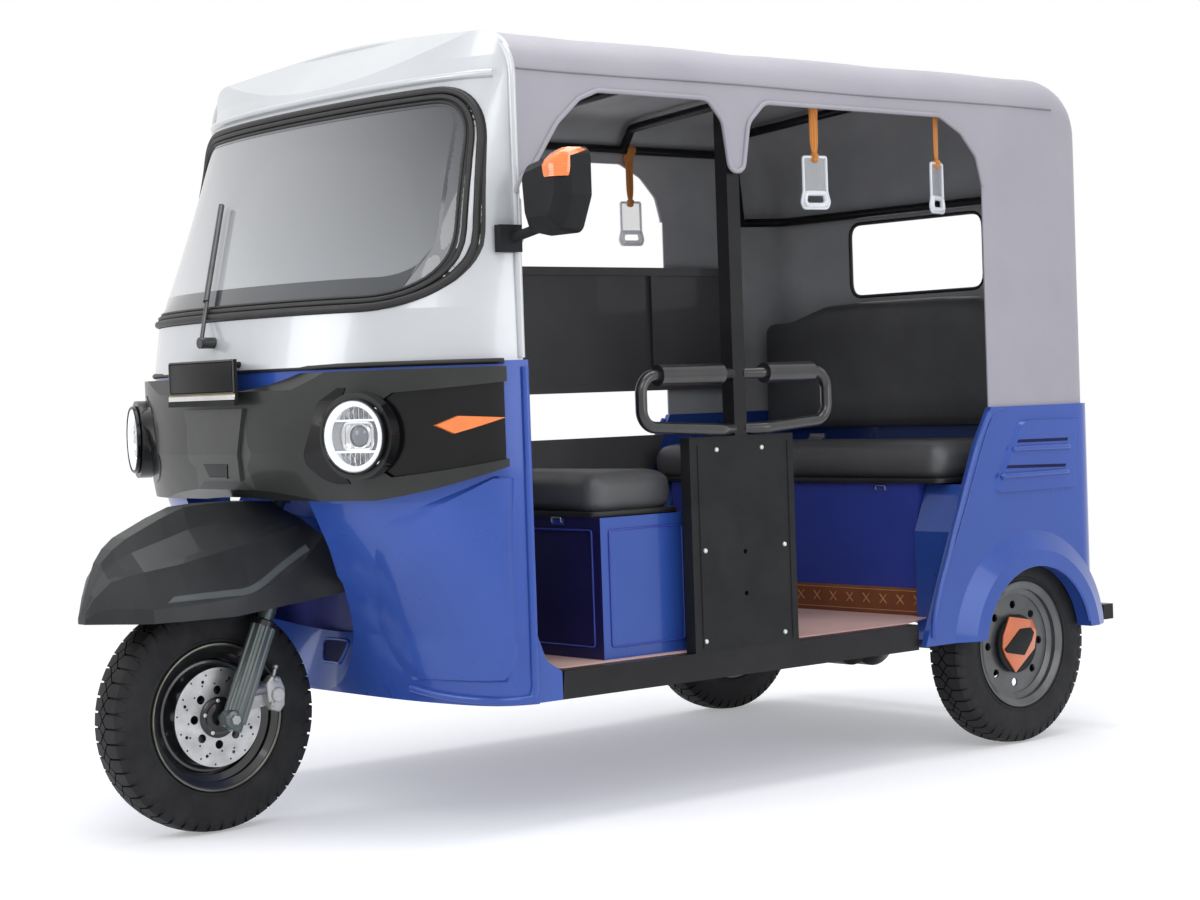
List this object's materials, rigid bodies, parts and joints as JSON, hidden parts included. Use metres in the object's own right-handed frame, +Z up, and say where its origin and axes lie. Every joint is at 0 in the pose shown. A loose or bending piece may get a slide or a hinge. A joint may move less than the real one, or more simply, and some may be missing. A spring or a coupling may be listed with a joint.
{
  "type": "auto rickshaw",
  "caption": "Three-wheeled passenger auto rickshaw with a fabric hood, open sides, a driver's seat and a rear bench.",
  "frame": {"origin": "on the ground under the middle of the vehicle's bounding box", "axes": "+Z up, -Y towards the nose, +Y towards the tail, +X towards the vehicle's left side"},
  "size_m": [1.528, 2.865, 1.82],
  "materials": {
    "body_blue": "gloss",
    "cab_silver": "gloss",
    "frame_black": "satin",
    "bare_steel": "satin",
    "rim_grey": "satin",
    "cap_orange": "gloss",
    "rubber": "matte",
    "tread_rubber": "matte",
    "black_plastic": "matte",
    "panel_black": "gloss",
    "lamp_lens": "gloss",
    "amber_lens": "gloss",
    "red_lens": "gloss",
    "screen_glass": "gloss",
    "hood_vinyl": "matte",
    "seat_vinyl": "satin",
    "strap_web": "matte",
    "grey_panel": "satin"
  },
  "bodies": {
    "chassis": {"chassis_frame": "frame_black", "floor_pan": "body_blue", "side_sill_left": "frame_black", "side_sill_right": "frame_black", "side_board_left": "black_plastic", "side_board_right": "black_plastic", "armrest_loops": "frame_black", "front_apron": "body_blue", "lamp_panel": "panel_black", "headlamps": "lamp_lens", "turn_signals": "amber_lens", "plate_holder": "black_plastic", "cab_front": "cab_silver", "windscreen_glass": "screen_glass", "windscreen_seal": "rubber", "wiper": "bare_steel", "mirror": "black_plastic", "dashboard": "black_plastic", "canopy": "hood_vinyl", "roof_frame": "frame_black", "grab_straps": "strap_web", "rear_quarter_left": "body_blue", "rear_quarter_right": "body_blue", "tail_panel": "body_blue", "tail_lamps": "red_lens", "rear_bumper": "frame_black", "rear_axle": "frame_black", "leaf_springs": "bare_steel", "seat_hinges": "bare_steel", "battery_pack": "grey_panel", "driver_seat_box": "body_blue", "rear_seat_box": "body_blue", "rear_backrest": "seat_vinyl", "right_side_panels": "grey_panel"},
    "steering": {"fork": "bare_steel", "handlebar": "black_plastic", "front_fender": "black_plastic", "brake_caliper": "bare_steel"},
    "front_wheel": {"front_tyre": "tread_rubber", "front_rim": "frame_black", "brake_disc": "bare_steel"},
    "rear_wheel_left": {"rear_tyre_left": "tread_rubber", "rear_rim_left": "rim_grey", "hub_cap_left": "cap_orange"},
    "rear_wheel_right": {"rear_tyre_right": "tread_rubber", "rear_rim_right": "rim_grey", "hub_cap_right": "cap_orange"},
    "driver_seat": {"driver_seat_cushion": "seat_vinyl"},
    "rear_seat": {"rear_seat_cushion": "seat_vinyl"}
  },
  "joints": [
    {"name": "steering", "type": "hinge", "parent": "chassis", "child": "steering", "pos_m": [-0.094, -1.1125, 0.265], "axis": [0, 0.3907, 0.9205], "range_deg": [-35, 35]},
    {"name": "front_wheel_spin", "type": "hinge", "parent": "steering", "child": "front_wheel", "pos_m": [-0.094, -1.1275, 0.265], "axis": [1, 0, 0], "continuous": true},
    {"name": "rear_wheel_left_spin", "type": "hinge", "parent": "chassis", "child": "rear_wheel_left", "pos_m": [0.468, 1.0125, 0.265], "axis": [1, 0, 0], "continuous": true},
    {"name": "rear_wheel_right_spin", "type": "hinge", "parent": "chassis", "child": "rear_wheel_right", "pos_m": [-0.656, 1.0125, 0.265], "axis": [1, 0, 0], "continuous": true},
    {"name": "driver_seat_lid", "type": "hinge", "parent": "chassis", "child": "driver_seat", "pos_m": [-0.094, -0.1195, 0.684], "axis": [-1, 0, 0], "range_deg": [0, 65]},
    {"name": "rear_seat_lid", "type": "hinge", "parent": "chassis", "child": "rear_seat", "pos_m": [-0.094, 1.2105, 0.812], "axis": [-1, 0, 0], "range_deg": [0, 45]}
  ]
}
